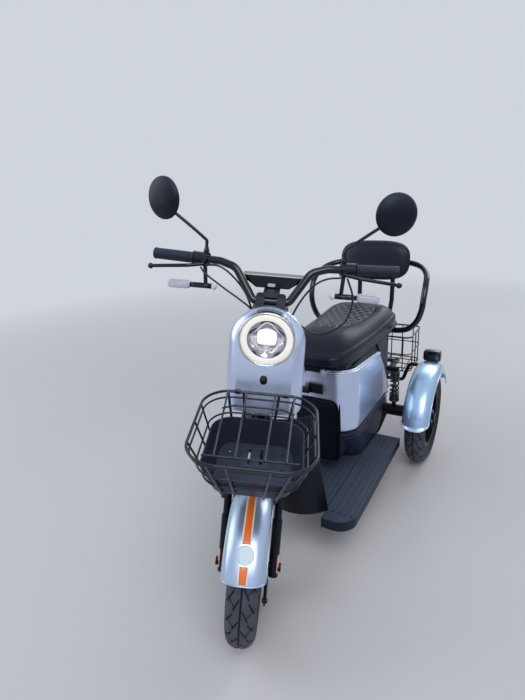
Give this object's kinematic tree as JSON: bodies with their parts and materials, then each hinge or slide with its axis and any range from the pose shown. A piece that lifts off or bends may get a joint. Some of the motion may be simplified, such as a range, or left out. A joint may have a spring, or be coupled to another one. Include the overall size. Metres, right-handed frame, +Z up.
{
  "type": "electric three-wheeled mobility scooter",
  "caption": "Electric three-wheeled scooter with steered front wheel, turning head cowl and lidded wire basket, step-through floor, hinged seat, backrest with arm loops and rear wire basket",
  "frame": {"origin": "centre of the bounding box on the floor", "axes": "+Z up, front towards -Y, rider's left at +X"},
  "size_m": [0.6798, 1.6726, 1.2715],
  "materials": {
    "paint_silver": "metallic silver blue lacquer",
    "paint_black": "gloss black powder coat",
    "plastic_black": "grained black moulding",
    "plastic_gloss": "gloss black moulding",
    "tyre": "black tyre rubber",
    "alloy": "cast, dark lacquered",
    "grip_rubber": "ribbed dark grey rubber",
    "seat_leather": "black stitched seat cover",
    "lens_clear": "clear lens",
    "lamp_red": "red lens",
    "steel": "zinc plated",
    "mirror_glass": "silvered mirror",
    "stripe_orange": "orange stripe with white borders",
    "reflector_orange": "orange reflector"
  },
  "bodies": {
    "chassis": {"main_frame": "paint_black", "leg_shield": "plastic_black", "floor_panel": "plastic_black", "running_board_right": "plastic_black", "running_board_left": "plastic_black", "body_shell": "paint_silver", "body_skirt": "plastic_black", "front_box": "plastic_black", "hook_plate": "plastic_black", "battery_pack": "plastic_black", "seat_hinge": "steel", "backrest_cushion": "seat_leather", "backrest_frame": "paint_black", "armrest_right": "paint_black", "armrest_left": "paint_black", "rear_axle": "paint_black", "rear_shock_right": "steel", "rear_mudguard_right": "paint_silver", "tail_lamp_right": "lamp_red", "rear_shock_left": "steel", "rear_mudguard_left": "paint_silver", "tail_lamp_left": "lamp_red", "rear_basket": "paint_black"},
    "steering": {"fork": "paint_black", "front_brake": "steel", "front_mudguard": "paint_silver", "head_cowl": "paint_silver", "cowl_back": "plastic_black", "headlight_body": "plastic_black", "headlight_lens": "lens_clear", "handlebar": "paint_black", "bar_clamp": "alloy", "display": "plastic_gloss", "grip_right": "grip_rubber", "brake_lever_right": "plastic_black", "mirror_right": "plastic_black", "turn_signal_right": "plastic_black", "grip_left": "grip_rubber", "brake_lever_left": "plastic_black", "mirror_left": "plastic_black", "turn_signal_left": "plastic_black", "front_basket": "paint_black", "basket_tray": "plastic_black", "basket_bracket": "paint_black"},
    "front_wheel": {"front_tyre": "tyre", "front_rim": "alloy"},
    "basket_lid": {"basket_lid": "paint_black"},
    "rear_wheel_left": {"rear_tyre_left": "tyre", "rear_rim_left": "alloy"},
    "rear_wheel_right": {"rear_tyre_right": "tyre", "rear_rim_right": "alloy"},
    "seat": {"seat_cushion": "seat_leather", "seat_pan": "plastic_black"}
  },
  "joints": [
    {"name": "steer", "type": "hinge", "parent": "chassis", "child": "steering", "pos_m": [-0.00064, -0.4798, 0.545], "axis": [0, 0.2773, 0.9608], "range_deg": [-67.6, 16.4]},
    {"name": "front_spin", "type": "hinge", "parent": "steering", "child": "front_wheel", "pos_m": [0.01232, -0.60497, 0.20888], "axis": [0.9018, 0.4151, -0.1198], "continuous": true},
    {"name": "lid_hinge", "type": "hinge", "parent": "steering", "child": "basket_lid", "pos_m": [0.03641, -0.5123, 0.71124], "axis": [-0.9018, -0.4151, 0.1198], "range_deg": [0, 85]},
    {"name": "seat_hinge_joint", "type": "hinge", "parent": "chassis", "child": "seat", "pos_m": [-0.00064, -0.09671, 0.617], "axis": [1, 0, 0], "range_deg": [0, 70]},
    {"name": "rear_spin_right", "type": "hinge", "parent": "chassis", "child": "rear_wheel_right", "pos_m": [-0.26564, 0.50628, 0.21], "axis": [1, 0, 0], "continuous": true},
    {"name": "rear_spin_left", "type": "hinge", "parent": "chassis", "child": "rear_wheel_left", "pos_m": [0.26436, 0.50628, 0.21], "axis": [1, 0, 0], "continuous": true}
  ]
}
